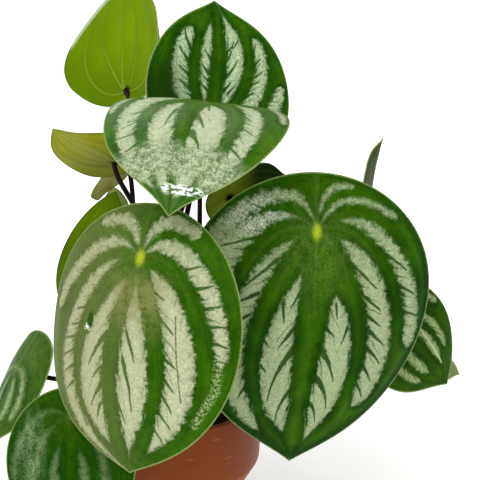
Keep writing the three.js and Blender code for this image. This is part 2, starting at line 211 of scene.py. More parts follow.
# %% Side vein table
VEIN_ROWS = {
    "front_left": [
        (4, 44, -12, 69, 0.6), (6, 66, -11, 92, 1.0), (20, 88, 0, 95, 0.9), (-37, 33, -55, 47, 0.5),
        (-45, 62, -60, 67, 0.6), (-48, 74, -64, 79, 0.6), (-50, 82, -70, 87, 0.5), (-50, 89, -76, 91, 0.4),
        (-55, 94, -80, 95, 0.4), (35, 54, 55, 73, 1.2), (38, 74, 52, 80, 0.6), (38, 83, 63, 90, 0.8),
        (45, 90, 62, 94, 0.5), (60, 35, 74, 42, 0.5), (65, 47, 78, 51, 0.4), (70, 56, 85, 58, 0.4),
        (72, 63, 86, 66, 0.4), (75, 71, 87, 73, 0.4), (78, 78, 90, 80, 0.4), (-74, 17, -86, 20, 0.4),
        (-77, 26, -89, 28, 0.5), (-79, 35, -91, 36, 0.5), (-81, 43, -93, 44, 0.5), (-83, 50, -94, 52, 0.5),
        (-84, 57, -95, 58, 0.4), (-36, 18, -48, 25, 0.4), (24, 28, 36, 42, 0.5)],
    "front_right": [
        (-29, 38, -31, 50, 0.5), (-17, 54, -30, 62, 0.7), (-44, 54, -39, 66, 0.6), (-10, 65.5, -42, 86, 1.9),
        (-7, 82, -50, 94.5, 1.8), (-8, 92, -40, 97, 0.7), (-50, 69, -54, 78, 0.4), (22, 27, 33, 42, 0.6),
        (40, 37, 37, 52, 0.8), (20, 50, 43, 68, 1.6), (20, 66, 61, 91, 2.1), (22, 88, 62, 97, 1.0),
        (56, 60, 50, 66, 0.4), (60, 74, 55, 80, 0.4), (-50, 16, -68, 34, 0.5), (-58, 36, -72, 46, 0.6),
        (-60, 47, -74, 54, 0.8), (-63, 56, -80, 63, 1.0), (-65, 65, -83, 71, 1.0), (-66, 74, -84, 79, 0.9),
        (-68, 82, -86, 85, 0.8), (-78, 22, -88, 32, 0.4), (-82, 36, -92, 42, 0.4), (-85, 47, -95, 50, 0.4),
        (55, 16, 72, 34, 0.5), (62, 34, 76, 42, 0.6), (66, 46, 80, 52, 0.6), (70, 60, 83, 65, 0.6),
        (74, 80, 87, 84, 0.6), (72, 12, 90, 24, 0.4)],
    "middle_top": [
        (-2, 40, -22, 68, 1.0), (-17, 18, -20, 34, 0.6), (0, 68, -28, 88, 1.6), (0, 70, 24, 84, 1.5),
        (36, 38, 42, 68, 0.9), (-64, 56, -80, 62, 0.5), (-70, 79, -90, 81, 0.5), (70, 44, 82, 50, 0.4),
        (72, 57, 84, 60, 0.4), (74, 72, 90, 73, 0.5), (-62, 36, -74, 46, 0.3), (76, 82, 90, 83, 0.4)],
    "upright": [
        (5, 40, 22, 55, 0.6), (0, 52, 40, 80, 0.8), (-2, 69, 36, 90, 1.1), (8, 82, 44, 92, 0.6),
        (32, 88, 60, 92, 0.5), (14, 38, 30, 52, 0.4), (43, 36, 62, 46, 0.7), (46, 48, 70, 58, 0.7),
        (52, 58, 76, 66, 0.7), (58, 69, 80, 76, 0.7), (65, 80, 84, 85, 0.6), (-32, 42, -41, 49, 0.5),
        (-31, 54, -41, 60, 0.5), (-28, 63, -42, 72, 0.9), (-24, 78, -40, 85, 0.6), (-58, 42, -72, 52, 0.6),
        (-58, 56, -74, 64, 0.6), (-60, 68, -80, 78, 0.8), (-62, 79, -86, 89, 0.9)],
}
SIDE_VEINS = {name: [(*(v / 100 for v in row[:4]), row[4]) for row in rows]
              for name, rows in VEIN_ROWS.items()}
print("side veins placed by hand:", sum(len(rows) for rows in VEIN_ROWS.values()))

# %% [markdown]
# ## Writing a finish as sums
# A procedural finish is arithmetic on places, and arithmetic is easier to read as an expression than
# as boxes and wires. A `Wire` stands for one output socket, and the usual signs are taught to add the
# matching Math node. A `Finish` is a material with one main shader. Its `node` method adds any other
# node: its type, its settings, then what each of its sockets gets, which is a wire, a number or a
# screen colour such as #3b7a1a.

# %% Wires and finishes
MIX_SHARE, MIX_BELOW, MIX_ABOVE, MIX_RESULT = 0, 6, 7, 2
OBJECT_PLACE = 3


def tint(code):
    """A screen colour as the linear colour that a shader wants."""
    parts = [int(code[i:i + 2], 16) / 255 for i in (1, 3, 5)]
    return [v / 12.92 if v < 0.04045 else ((v + 0.055) / 1.055) ** 2.4 for v in parts] + [1.0]


def operator(operation, swapped=False):
    """A method that adds the Math node for a wire and another value."""
    def combine(wire, other):
        values = (other, wire) if swapped else (wire, other)
        return wire.finish.math(operation, *values)
    return combine


class Wire:
    __add__ = __radd__ = operator("ADD")
    __mul__ = __rmul__ = operator("MULTIPLY")
    __sub__ = operator("SUBTRACT")
    __rsub__ = operator("SUBTRACT", swapped=True)
    __truediv__ = operator("DIVIDE")
    __pow__ = operator("POWER")
    least = operator("MINIMUM")
    most = operator("MAXIMUM")

    def __init__(self, finish, socket):
        self.finish = finish
        self.socket = socket

    def __abs__(self):
        return self.finish.math("ABSOLUTE", self)

    def whole(self):
        return self.finish.math("FLOOR", self)

    def remainder(self):
        return self.finish.math("FRACT", self)

    def ramp(self, low, high):
        """0 below low, 1 above high, with a soft rise between them."""
        sockets = {"Value": self, "From Min": low, "From Max": high}
        return self.finish.node("ShaderNodeMapRange", {"interpolation_type": "SMOOTHSTEP"}, sockets)

    def drop(self, low, high):
        """1 below low, 0 above high, with a soft fall between them."""
        return 1.0 - self.ramp(low, high)


class Finish:
    def __init__(self, name, **constants):
        self.material = bpy.data.materials.new(name)
        self.material.use_nodes = True
        self.tree = self.material.node_tree
        self.shader = self.tree.nodes["Principled BSDF"]
        for socket, value in constants.items():
            self.shader.inputs[socket.replace("_", " ")].default_value = value

    def node(self, kind, settings=None, sockets=None, output=0):
        made = self.tree.nodes.new(kind)
        for key, value in (settings or {}).items():
            setattr(made, key, value)
        for key, value in (sockets or {}).items():
            if isinstance(value, Wire):
                self.tree.links.new(value.socket, made.inputs[key])
            else:
                made.inputs[key].default_value = tint(value) if isinstance(value, str) else value
        return Wire(self, made.outputs[output])

    def math(self, operation, *values):
        return self.node("ShaderNodeMath", {"operation": operation}, dict(enumerate(values)))

    def map_place(self, name):
        """The place that one of the mesh's own maps gives."""
        return self.node("ShaderNodeUVMap", {"uv_map": name})

    def map(self, name):
        """The two numbers of one of the mesh's own maps."""
        return self.parts(self.map_place(name))[:2]

    def parts(self, vector):
        return [self.node("ShaderNodeSeparateXYZ", sockets={0: vector}, output=i) for i in range(3)]

    def point(self, x, y, z=0.0):
        return self.node("ShaderNodeCombineXYZ", sockets={0: x, 1: y, 2: z})

    def object_place(self, stretch=(1, 1, 1)):
        place = self.node("ShaderNodeTexCoord", output=OBJECT_PLACE)
        return self.node("ShaderNodeMapping", sockets={0: place, "Scale": stretch})

    def noise(self, place, scale, detail=2.0, roughness=0.5):
        sockets = {"Vector": place, "Scale": scale, "Detail": detail, "Roughness": roughness}
        return self.node("ShaderNodeTexNoise", {"noise_dimensions": "3D"}, sockets)

    def chance(self, number):
        """A fixed draw between 0 and 1 for each whole number."""
        return self.node("ShaderNodeTexWhiteNoise", {"noise_dimensions": "1D"}, {"W": number}, output="Value")

    def blend(self, share, below, above):
        """One colour laid over another, as far as share says."""
        sockets = {MIX_SHARE: share, MIX_BELOW: below, MIX_ABOVE: above}
        return self.node("ShaderNodeMix", {"data_type": "RGBA"}, sockets, output=MIX_RESULT)

    def lighten(self, colour, amount):
        """A colour times a grey amount."""
        grey = self.node("ShaderNodeCombineColor", sockets={0: amount, 1: amount, 2: amount})
        settings = {"data_type": "RGBA", "blend_type": "MULTIPLY"}
        sockets = {MIX_SHARE: 1.0, MIX_BELOW: colour, MIX_ABOVE: grey}
        return self.node("ShaderNodeMix", settings, sockets, output=MIX_RESULT)

    def relief(self, height, depth):
        """A height between 0 and 1, raised to depth millimetres."""
        return self.node("ShaderNodeBump", sockets={"Height": height, "Distance": depth * MM})

    def lay(self, **channels):
        for socket, value in channels.items():
            self.tree.links.new(value.socket, self.shader.inputs[socket.replace("_", " ")])
        return self.material


print("green as a shader wants it:", [round(v, 3) for v in tint(PLAIN["dark"])])

# %% [markdown]
# ## Marks of single leaves
# A leaf that has lived on a shelf carries marks: dust, a scratch, a nick. Other marks are painted light:
# a painted shadow down one side, patches of painted sheen, painted glints near a tip, painted shade in
# the nick with a painted glint at its edge, and a painted highlight along a fold. Each mark is a function
# that lays one more colour over the blade. Its places are millimetres on the flat blade, measured from
# the stem's joint: x across and y towards the tip.

# %% Marks
def distance(x, y):
    return (x * x + y * y) ** 0.5


def path_distance(x, y, points):
    """Millimetres from a place on the flat blade to a bent line through some of its places."""
    gaps = []
    for start, end in zip(points, points[1:]):
        run_x, run_y = end[0] - start[0], end[1] - start[1]
        length = run_x ** 2 + run_y ** 2
        along = (x - start[0]) * (run_x / length) + (y - start[1]) * (run_y / length)
        share = along.most(0.0).least(1.0)
        gaps.append(distance(x - start[0] - share * run_x, y - start[1] - share * run_y))
    return functools.reduce(Wire.least, gaps)


def oval(x, y, middle, radii):
    """1 in the middle of an oval on the flat blade, falling to 0 at its edge."""
    return 1.0 - distance((x - middle[0]) * (1 / radii[0]), (y - middle[1]) * (1 / radii[1]))


def scratch(finish, colour, x, y, grain):
    path = [(-20, 22), (-22, 38.5), (-25, 57)]
    line = (path_distance(x, y, path) + grain * 0.25).drop(0.15, 0.65)
    return finish.blend(line * 0.85, colour, "#544030")


def speckled_edge(finish, colour, x, y, grain):
    path = [(-39.5, 38), (-39, 51), (-31, 66)]
    belt = path_distance(x, y, path).drop(0.3, 2.8)
    specks = finish.noise(finish.point(x, y), 1.2, 2.0)
    return finish.blend(belt * (specks * 0.6 + grain * 0.4).ramp(0.46, 0.58) * 0.7, colour, "#a9b888")


# Painted highlight: a pale line where the light catches the fold of the blade.
def painted_fold_highlight(finish, colour, x, y, grain):
    line = (path_distance(x, y, [(-6.7, 15), (-3.8, 34)]) + grain * 0.4).drop(0.3, 1.0)
    return finish.blend(line * 0.7, colour, "#c3cca4")


# A nick: its hole is painted shade, and the pale fleck at its edge is a painted glint.
def nick(finish, colour, x, y, grain):
    shaded_hole = (oval(x, y, (20.7, 28.2), (2.2, 3.8)) + (grain - 0.5) * 0.6).ramp(0.0, 0.3)
    colour = finish.blend(shaded_hole, colour, "#214700")
    edge_glint = (oval(x, y, (22.2, 31.4), (1.7, 1.5)) + (grain - 0.5) * 1.3).ramp(0.15, 0.4)
    return finish.blend(edge_glint, colour, "#dfe4cf")


def mist(finish, colour, x, y, grain):
    clouds = finish.noise(finish.point(x * 0.6, y * 0.35), 0.4, 3.0)
    region = oval(x, y, (0, 10), (22, 32)).ramp(0.0, 0.9)
    return finish.blend(region * (clouds * 0.7 + grain * 0.3).ramp(0.3, 0.7) * 0.16, colour, "#8fb060")


# Painted sheen: pale hazy patches where light shines off the dark blade.
def painted_sheen(finish, colour, x, y, grain):
    clouds = finish.noise(finish.point(x, y * 0.3), 0.3, 3.0)
    region = oval(x, y, (17, 12), (9, 24)).ramp(0.0, 0.7)
    return finish.blend(region * (clouds * 0.8 + grain * 0.2).ramp(0.35, 0.7) * 0.4, colour, "#9dba88")


# Painted glints: white flecks, with darker specks between them, where light shines off the bent tip.
def painted_glints(finish, colour, x, y, grain):
    flecks = finish.noise(finish.point(x * 0.5, y), 0.9, 2.0, 0.6)
    region = oval(x, y, (-3, 69.2), (11, 2.8)).ramp(0.0, 0.35)
    colour = finish.blend(region * flecks.drop(0.4, 0.47), colour, "#3f6a20")
    return finish.blend(region * flecks.ramp(0.47, 0.52), colour, "#f3f7f0")


def dust(finish, colour, x, y, grain):
    clouds = finish.noise(finish.point(x, y), 0.2, 3.0)
    belt = y.ramp(3.0, 12.0) * y.drop(18.0, 38.0) * abs(x + 2.0).drop(6.0, 18.0)
    return finish.blend(belt * (clouds + grain * 0.2).ramp(0.35, 0.7) * 0.75, colour, "#83824e")


def clean_tip(finish, colour, x, y, grain):
    edge = y + abs(x) * 0.35 + (grain - 0.5) * 1.4
    return finish.blend(edge.ramp(72.0, 73.6) * 0.9, colour, "#2c5c0c")


# Painted shadow: one side of the blade, shaded by a leaf beside it, turns almost black.
def painted_shadow_side(finish, colour, x, y, grain):
    return finish.blend((0.0 - x).ramp(14.0, 32.0) * y.drop(20.0, 46.0) * 0.75, colour, "#042c04")


def pale_side(finish, colour, x, y, grain):
    return finish.blend((x - 4.0).ramp(-18.0, 18.0) * (0.22 + grain * 0.12), colour, "#8f8a58")


MARKS = {
    "front_left": (pale_side, dust, speckled_edge, scratch, nick),
    "front_right": (mist,),
    "middle_top": (clean_tip, painted_glints),
    "upright": (painted_shadow_side,),
    "low_left": (painted_sheen,),
    "right": (painted_fold_highlight,),
}
print("leaves with marks:", len(MARKS))

# %% [markdown]
# ## The top of a blade
# Close up, a silver stripe is a layer of air under the skin, so it is paler and a little rougher than
# the green. Its edges are torn into fine teeth, its side towards the midrib is cut into lobes, and a
# dark side vein runs in between each two lobes. The mesh carries the distances that say where a point
# lies in its stripe, in millimetres, and the finish only roughens them with noise. That way one
# recipe serves every leaf, and the teeth have the same size on all of them.

# %% Top finish
GREEN_GLOSS = (0.75, 1.0, 0.25, 1.0)
SKIN_RELIEF = 0.25

# Scale for each millimetre, detail and roughness of the noises, from the broadest to the finest
BLADE_NOISES = ((0.06, 2.0), (0.16, 3.0), (0.35, 3.0, 0.6), (0.9, 3.0, 0.65), (1.7, 2.0, 0.6))
NET_SCALE = 0.42
HAIRS_IN_LOBE = 20.0
LEAST_WIDTH = 0.1

RIB_GREEN = "#7f9c4c"
JOINT_YELLOW = "#aebc1e"
EDGE_CREAM = "#93a464"
WINDOW_SHEEN = "#dde1ce"


def lobed_side(depth, lobe_at, step):
    """A stripe's side that steps back along each lobe, and the share of the lobe that has passed."""
    part = lobe_at.remainder()
    return depth - part * step, part


def gap_to_vein(part, lobe_length, grain):
    """Millimetres from the line between two lobes."""
    return part.least(1.0 - part) * lobe_length + (grain - 0.5) * 0.3


def top_finish(name, look):
    finish = Finish(f"{name}_top", Specular_IOR_Level=look["gloss"], Specular_Tint=GREEN_GLOSS)
    flat = finish.map_place("flat")
    x, y, _ = finish.parts(flat)
    inside, outside = finish.map("band")
    inner_lobe, outer_lobe = finish.map("lobes")
    rib, way = finish.map("rib")
    margin, lobe_length = finish.map("margin")
    width = (inside + outside).most(LEAST_WIDTH)

    slow, patches, clouds, grain, specks = [finish.noise(flat, *noise_size) for noise_size in BLADE_NOISES]
    clouds = clouds.ramp(0.3, 0.7)
    grain = grain.ramp(0.25, 0.75)
    specks = specks.ramp(0.3, 0.7)

    # The stripe's sides are frayed into short hairs that lie along the side veins
    hair_place = finish.point(inner_lobe * HAIRS_IN_LOBE, inside * 0.3, slow * 4.0)
    hairs = finish.noise(hair_place, 1.0, 2.0, 0.6).ramp(0.25, 0.75)
    fray = ((hairs - 0.5) * 0.9 + (grain - 0.5) * 1.0 + (clouds - 0.5) * 1.3) * (width / 6.0).least(1.0)

    # Lobes: the side steps back along each lobe, and starts again below the next side vein
    waver = patches - 0.5
    inner_at = inner_lobe + waver
    inner_step = (lobe_length * 0.12).least(width * 0.2)
    outer_step = (lobe_length * 0.06).least(width * 0.08)
    inner_side, inner_part = lobed_side(inside, inner_at, inner_step)
    outer_side, outer_part = lobed_side(outside, outer_lobe + waver, outer_step)
    depth = inner_side.least(outer_side) + fray + 0.3
    soft = look["soft"]
    body = depth.ramp(-0.9 * soft, 1.2 * soft) * (0.74 + depth.ramp(-0.5, 4.5) * 0.26)

    # Side veins: dark wedges from the stripe's inner side, each with a length and strength of its own
    luck = finish.chance((inner_at + 0.5).whole())
    across = inside / width
    reach = 0.35 + luck * 0.5
    open_share = 1.0 - (across / reach).least(1.0)
    mouth = (open_share * open_share * 1.2 + open_share * 0.25) * (0.35 + luck * 0.75) * look["cut"]
    inner_gap = gap_to_vein(inner_part, lobe_length, grain)
    wedge = inner_gap.drop(mouth * 0.5, mouth + 0.35) * open_share.ramp(0.0, 0.2)
    outer_gap = gap_to_vein(outer_part, lobe_length, grain)
    notch = outer_gap.drop(0.1, 0.5) * (1.0 - across).drop(0.1, 0.35)

    # The side veins that are listed in the table
    vein_off, vein_half = finish.map("vein")
    vein_gap = abs(vein_off + waver * 1.2) - vein_half * (0.7 + clouds * 0.6) + (hairs - 0.5) * 0.3
    vein = vein_gap.drop(-0.1, 0.55)

    # A net of fine lines between them
    cells = finish.node("ShaderNodeTexVoronoi", {"feature": "DISTANCE_TO_EDGE"},
                        {"Vector": flat, "Scale": NET_SCALE})
    net = cells.drop(0.0, 0.09) * clouds
    veined = (1.0 - wedge * 0.6) * (1.0 - notch * 0.4) * (1.0 - net * look["net"]) * (1.0 - vein * 0.93)

    # Towards some tips the silver breaks up into a haze of dots that also covers the green
    haze = way.ramp(*look["haze"]) * way.drop(0.955, 0.985)
    dots = (specks * 0.35 + grain * 0.3 + clouds * 0.35).ramp(0.25, 0.75)
    breaking = way.drop(0.05, 0.3) * (1.0 - dots) * look["breaking"]
    silver = body * veined * look["strength"] * (1.0 - haze * (1.0 - dots) * 0.5) * (1.0 - breaking)
    silver = silver.most(haze * (0.15 + dots * 0.6 + depth.ramp(-6.0, 2.0) * 0.2) * veined)

    # Green: deepest beside the silver, lighter round the joint and along the main veins
    threads = finish.noise(finish.point(rib * 0.8, way * 4.0, slow * 3.0), 1.0, 3.0, 0.6).ramp(0.3, 0.7)
    beside = depth.ramp(-8.0, -0.5) * 0.6 + slow.ramp(0.35, 0.65) * 0.35 + threads * 0.2
    beside = beside.most(margin.drop(1.0, 9.0) * look["shade"] * 2.0).least(1.0)
    green = finish.blend(beside.most(vein * 0.8), look["dark"], look["deep"])
    green = finish.blend(way.drop(0.02, 0.4) * 0.5, green, look["dark"])
    rib_line = abs(rib).drop(0.2, 1.2) * way.drop(0.05, 0.45)
    green = finish.blend(rib_line * look["ribline"], green, RIB_GREEN)
    green = finish.lighten(green, 0.2 + patches * 0.5 + grain * 0.3 + clouds * 0.3 + threads * 0.42)
    pale = look["silver"]
    # Painted sheen: a whitish patch over the silver where a window shines off it.
    if "sheen" in look:
        glow = oval(x, y, *look["sheen"]).ramp(0.0, 0.6) * (grain * 0.6 + specks * 0.4).ramp(0.3, 0.65)
        pale = finish.blend(glow * 0.85, pale, WINDOW_SHEEN)
    pale = finish.lighten(pale, 0.56 + specks * 0.24 + grain * 0.3 + clouds * 0.2 + hairs * 0.12)
    colour = finish.blend(silver, green, pale)

    from_joint = (x * x + y * y * 0.35) ** 0.5
    joint_spot = (from_joint + (grain - 0.5) * 1.2).drop(0.2, 3.2)
    colour = finish.blend(joint_spot * look["joint"], colour, JOINT_YELLOW)
    for mark in MARKS.get(name, ()):
        colour = mark(finish, colour, x, y, grain)
    edge_line = (margin + (grain - 0.5) * 0.5).drop(0.2, 0.95)
    colour = finish.blend(edge_line * 0.7, colour, EDGE_CREAM)

    height = silver * 0.35 + grain * 0.25 + specks * 0.2 + abs(rib).ramp(0.0, 1.4) * 0.35
    return finish.lay(
        Base_Color=colour,
        Roughness=0.36 + silver * 0.14 + grain * 0.1,
        Normal=finish.relief(height, SKIN_RELIEF),
    )


print("sizes of noise on a blade:", len(BLADE_NOISES))

# %% [markdown]
# ## The underside and the rim of a blade
# The underside has no stripes. It is a dull yellow green, and its lightness is painted light that
# stands in for the light coming through the leaf, with the main veins as pale raised lines and their
# dark sides. It is painted darker towards the joint and the rounded base, as painted shade, and on
# high_left also over its far side. The rim is a thin pale line all round, a little translucent on the
# real leaf, so it is simply lighter than both faces.

# %% Underside and rim finishes
UNDERSIDE_RELIEF = 0.3
PAINTED_SHADE_TO_BASE = "#3a5400"
RIB_SHADE = "#3f4a08"
STEM_SCAR = "#3a1f12"
MARGIN_SHADE = "#2c3a08"
PAINTED_SHADE_FAR_SIDE = "#4a6a00"
ROLLED_EDGE = "#a9bc94"


def underside_finish(name, look):
    finish = Finish(f"{name}_underside", Specular_IOR_Level=look["gloss"], Specular_Tint=GREEN_GLOSS)
    flat = finish.map_place("flat")
    x, y, _ = finish.parts(flat)
    rib, way = finish.map("rib")
    side, _ = finish.map("lobes")
    margin, _ = finish.map("margin")
    slow = finish.noise(flat, 0.05, 2.0)
    grain = finish.noise(flat, 0.8, 3.0, 0.6)
    base = finish.lighten(look["under"], 0.62 + slow * 0.62 + grain * 0.14)
    # Painted shade: the underside darkens towards the joint and the rounded base.
    base = finish.blend(y.drop(-8.0, 30.0) * 0.5, base, PAINTED_SHADE_TO_BASE)
    if "under_tip" in look:
        base = finish.blend(y.ramp(-2.0, 16.0), base, look["under_tip"])
    base = finish.blend(abs(rib).drop(0.6, 2.4) * 0.12, base, RIB_SHADE)
    ridge = abs(rib).drop(0.1, 0.7)
    thinning = 1.0 - way.ramp(0.2, 0.8) * 0.75
    base = finish.blend(ridge * thinning * 0.5, base, look["vein"])
    side = side.remainder()
    side_vein = side.least(1.0 - side).drop(0.0, 0.05) * 0.08
    base = finish.blend(side_vein, base, look["vein"])
    base = finish.blend(distance(x, y).drop(1.2, 3.4), base, STEM_SCAR)
    base = finish.blend(margin.drop(0.3, 1.0) * 0.5, base, MARGIN_SHADE)
    # On high_left the far side is painted darker, as painted shade, and the rolled margin shows the top's
    # colour.
    if "rolled_edge_and_side_shade" in look:
        base = finish.blend(x.ramp(4.0, 34.0) * 0.3, base, PAINTED_SHADE_FAR_SIDE)
        turned_over = (margin + grain * 0.8).drop(1.6, 2.4) * x.ramp(2.0, 6.0) * y.ramp(20.0, 25.0)
        base = finish.blend(turned_over, base, ROLLED_EDGE)
    return finish.lay(
        Base_Color=base,
        Roughness=0.42 + grain * 0.15,
        Normal=finish.relief(ridge * 0.6 + grain * 0.3 + side_vein, UNDERSIDE_RELIEF),
    )


def rim_finish():
    finish = Finish("blade_rim", Roughness=0.45, Specular_IOR_Level=0.2)
    wear = finish.noise(finish.map_place("flat"), 0.25, 3.0)
    return finish.lay(Base_Color=finish.blend(wear.ramp(0.4, 0.6), "#a3b06a", "#7c9040"))


RIM = rim_finish()
print("blade finishes:", RIM.name)

# %% [markdown]
# ## The shape of a blade
# A blade starts as a flat disc with its centre at the stem's joint. The disc is laid out along the
# leaf's outline, and then bent: an arc across and an arc along, each with its own angle on either side
# of the joint. These are the sums that the solids use, so the fine blade lies on the plain one.

# %% Blade sums
THICKNESS = 0.9
POINT_SPREAD = 0.35
RIPPLE = 0.8
RIPPLES = 4
UP = Vector((0, 0, 1))


def round_point(radius, angle, z=0.0):
    """The place at this radius, compass angle in radians and height."""
    return Vector((radius * math.cos(angle), radius * math.sin(angle), z))


def bend(along, height, turn, span):
    """A point carried height above an arc that bends down by turn degrees over span."""
    curvature = turn * DEGREE / span
    if not curvature:
        return along, height
    radius = 1 / curvature
    angle = along * curvature
    return (radius + height) * math.sin(angle), (radius + height) * math.cos(angle) - radius


def outline(leaf, a):
    """The flat outline at angle a from the tip, measured from the joint."""
    length = leaf.tip + leaf.base
    drawn = math.exp(-abs(a) / POINT_SPREAD) - max(0, math.cos(a)) ** 2
    x = leaf.half * math.sin(a) * (1 - leaf.egg * math.cos(a))
    y = (leaf.tip - leaf.base) / 2 + length / 2 * math.cos(a) + leaf.point * drawn
    return Vector((x, y))


def to_margin(leaf, share, a):
    """Millimetres from a place on the flat blade out to its margin."""
    return (1 - share) * outline(leaf, a).length


def blade_matrix(leaf):
    heading = leaf.heading * DEGREE
    tilt = leaf.tilt * DEGREE
    along = Vector((math.cos(tilt) * math.cos(heading), math.cos(tilt) * math.sin(heading), math.sin(tilt)))
    level = Vector((math.sin(heading), -math.cos(heading), 0))
    across = Matrix.Rotation(leaf.roll * DEGREE, 3, along) @ level
    axes = Matrix((across, along, across.cross(along))).transposed()
    return Matrix.Translation(leaf.at) @ axes.to_4x4()


def blade_point(leaf, share, a, lift):
    """A place on the bent blade: share of the way out to the rim at angle a."""
    tip_arch, base_arch, left_arch, right_arch = leaf.arch
    x, y = outline(leaf, a) * share
    ripple = RIPPLE * share ** 3 * math.sin(RIPPLES * a + leaf.at[0])
    across, height = bend(x, lift + ripple, left_arch if x < 0 else right_arch, leaf.half)
    if y > 0:
        along, up = bend(y, height, tip_arch, leaf.tip)
    else:
        along, up = bend(y, height, base_arch, leaf.base)
    return Vector((across, along, up))


first = LEAVES["front_left"]
print("tip of front_left, mm:", blade_matrix(first) @ blade_point(first, 1, 0, 0))

# %% [markdown]
# ## The vein map
# The pull from the joint to the tip is written with complex numbers: a source inside a unit disc, a
# drain on its edge, and the source's mirror image outside it so that the edge is itself a vein. The
# logarithm of that product gives both numbers of the map at once, and its slope says how many
# millimetres one step of the map covers.

# %% Vein map
NEAR_POLE = 1e-4
LEAST_WAY = 1e-3
START_EASE = 0.8
START_ROUNDING = 0.12
END_ROUNDING = 0.06


@functools.cache
def vein_map(name, share, a):
    """(round, way, millimetres for one step of round, the same for way) at a place on the blade."""
    leaf = LEAVES[name]
    length = leaf.tip + leaf.base
    joint = (leaf.base - leaf.tip) / length
    place = joint + max(share, NEAR_POLE) * (cmath.exp(1j * a) - joint)
    if abs(place - 1) < NEAR_POLE:
        place = 1 - NEAR_POLE
    flow = (place - joint) * (place - 1 / joint) / (place - 1) ** 2
    slope = abs(1 / (place - joint) + 1 / (place - 1 / joint) - 2 / (place - 1))
    way = abs(flow) / (1 + abs(flow))
    size = (length / 2 + leaf.half) / 2 / slope
    turn = math.copysign(abs(cmath.phase(flow)) / math.pi, a)
    return turn, way, size * math.pi, size / max(way * (1 - way), LEAST_WAY)


def strip_sides(strip, way):
    """Where the strip's two sides lie at this point of the way. They cross where the strip has ended."""
    start, end, half_start, half_end, way_start, way_end = strip
    run = (way - way_start) / (way_end - way_start)
    ease = min(max(run, 0), 1) ** START_EASE
    centre = start + (end - start) * ease
    half = half_start + (half_end - half_start) * ease
    from_end = min(run / START_ROUNDING, (1 - run) / END_ROUNDING)
    half *= math.sqrt(min(1, from_end)) if from_end > 0 else 2 * from_end
    return centre - half, centre + half


def strip_depth(strip, right, turn, way):
    """How deep a place lies in the strip, from its side towards the midrib and from its outer side."""
    low, high = strip_sides(strip, way)
    return (turn - low, high - turn) if right else (high - turn, turn - low)


VEIN_HAIR = 0.12
VEIN_TAPER = 1.3
MOUTH_SLOPE = 0.7
NO_VEIN = (0, -10)


def vein_reach(vein, turn, way, round_size, way_size):
    """How far a place lies off a side vein's middle line, and half the vein's width there."""
    mouth_turn, mouth_way, end_turn, end_way, half = vein
    run = Vector(((end_turn - mouth_turn) * round_size, (end_way - mouth_way) * way_size))
    here = Vector(((turn - mouth_turn) * round_size, (way - mouth_way) * way_size))
    share = here.dot(run) / run.length_squared
    off = run.cross(here) / run.length
    if share < 0:
        return off, half + MOUTH_SLOPE * share * run.length
    if share > 1:
        return off, (1 - share) * run.length
    return off, half * (1 - share) ** VEIN_TAPER + VEIN_HAIR


def rib_places(look, way):
    """The main veins, which run through the green between the stripes and drift outwards with them."""
    return [start + (end - start) * way for start, end in look["ribs"]]


print("vein map at mid blade:", [round(v, 2) for v in vein_map("front_right", 0.5, 0.4)])

# %% [markdown]
# ## Spinning a blade
# The disc comes from one straight spoke, spun right round with its seam merged, and a hub that is
# filled and poked. A polar grid suits this leaf because its veins also leave one point, so the rows of
# faces run with them and bend smoothly. The maps are laid on the flat disc first, while a face still
# knows on which side of the midrib it lies, and only then is each point moved to its place.

# %% Disc and maps
MAPS = ("band", "lobes", "rib", "margin", "vein", "flat")
HUB_SHARE = 0.03
HUB_EDGE = HUB_SHARE * 1.01
TINY = 1e-5
SEAM = 0.001 * MM
LOBES_AT_RIB = 0.6
LOBES_OUTWARDS = 3
LOBE_SLANT = 1.1
INNER_SHIFT = 7
OUTER_SHIFT = 11
SWELL = 1 / 70
VALLEY = 3.5
FLAT_EDGE = 7
FLAT_HUB = 0.25


def spun(points, sides):
    """A mesh made by joining the points in a line and spinning it right round the upright axis."""
    mesh = bmesh.new()
    line = [mesh.verts.new(point) for point in points]
    edges = [mesh.edges.new(pair) for pair in zip(line, line[1:])]
    bmesh.ops.spin(mesh, geom=line + edges, cent=(0, 0, 0), axis=UP, angle=2 * math.pi, steps=sides,
                   use_merge=True, use_normal_flip=False, use_duplicate=False)
    return mesh


def mended(mesh, gap):
    """The mesh with its seams merged and its faces turned outwards."""
    bmesh.ops.remove_doubles(mesh, verts=mesh.verts, dist=gap)
    bmesh.ops.recalc_face_normals(mesh, faces=mesh.faces)
    return mesh


def spun_disc(rings, spokes):
    shares = [HUB_SHARE + (1 - HUB_SHARE) * ring / (rings - 1) for ring in range(rings)]
    mesh = spun([(0, -share, 0) for share in shares], spokes)
    hub = [edge for edge in mesh.edges if all(vert.co.length < HUB_EDGE for vert in edge.verts)]
    filled = bmesh.ops.contextual_create(mesh, geom=hub)["faces"]
    bmesh.ops.poke(mesh, faces=filled)
    mended(mesh, TINY)
    mesh.faces.ensure_lookup_table()
    if mesh.faces[0].normal.z < 0:
        bmesh.ops.reverse_faces(mesh, faces=mesh.faces)
    return mesh


def polar(place, beside):
    """(share, angle from the tip) of a place on the flat disc, seen from the point beside it."""
    share = place.length
    if share < TINY:
        return 0.0, math.atan2(beside.x, beside.y)
    a = math.atan2(place.x, place.y)
    if abs(place.x) < TINY:
        a = math.copysign(abs(a), beside.x)
    return share, a


